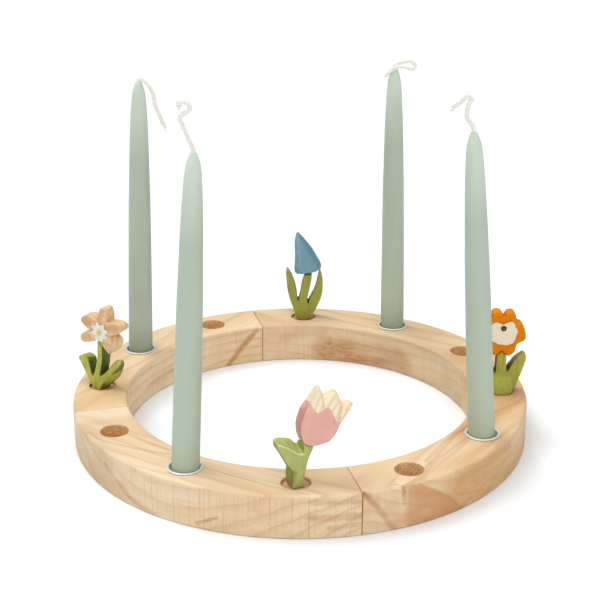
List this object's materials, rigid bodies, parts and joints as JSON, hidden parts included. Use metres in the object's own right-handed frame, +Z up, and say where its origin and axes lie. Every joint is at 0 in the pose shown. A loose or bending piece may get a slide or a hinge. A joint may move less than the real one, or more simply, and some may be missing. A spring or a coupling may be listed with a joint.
{
  "type": "candle ring",
  "caption": "Wooden ring in loose sections that holds taper candles in metal cups and carved painted flowers on pegs, with open sockets between them.",
  "frame": {"origin": "centre of the ring, on the surface that it stands on", "axes": "+Z up, -Y towards the front seam, +X towards the right seam"},
  "size_m": [0.4, 0.4, 0.3329],
  "materials": {
    "pine": "planed, unfinished",
    "peg_wood": "turned, unfinished",
    "cup_metal": "bright, pressed",
    "candle_wax": "satin dipped wax",
    "wick_cotton": "twisted cotton stiff with wax",
    "leaf_green": "green stain",
    "petal_pink": "pink stain",
    "petal_wood": "carved, unfinished",
    "bell_blue": "blue stain",
    "daffodil_wood": "carved, oiled",
    "star_white": "white paint",
    "centre_yellow": "yellow paint",
    "pansy_orange": "orange stain",
    "face_cream": "cream paint",
    "eye_brown": "brown paint"
  },
  "bodies": {
    "root": {"bluebell_bell": "bell_blue", "bluebell_peg": "peg_wood", "bluebell_stem_and_leaves": "leaf_green", "candle_back_left": "candle_wax", "candle_back_right": "candle_wax", "candle_cup_back_left": "cup_metal", "candle_cup_back_right": "cup_metal", "candle_cup_front_left": "cup_metal", "candle_cup_front_right": "cup_metal", "candle_front_left": "candle_wax", "candle_front_right": "candle_wax", "daffodil_centre": "centre_yellow", "daffodil_peg": "peg_wood", "daffodil_petals": "daffodil_wood", "daffodil_star": "star_white", "daffodil_stem_and_leaves": "leaf_green", "pansy_eye": "eye_brown", "pansy_face": "face_cream", "pansy_peg": "peg_wood", "pansy_petals": "pansy_orange", "pansy_stem_and_leaves": "leaf_green", "ring_quarter_back_left": "pine", "ring_quarter_back_right": "pine", "ring_quarter_front_left": "pine", "ring_quarter_front_right": "pine", "tulip_cup_pink": "petal_pink", "tulip_peg": "peg_wood", "tulip_stem_and_leaf": "leaf_green", "tulip_tips_bare": "petal_wood", "wick_back_left": "wick_cotton", "wick_back_right": "wick_cotton", "wick_front_left": "wick_cotton", "wick_front_right": "wick_cotton"}
  },
  "joints": []
}
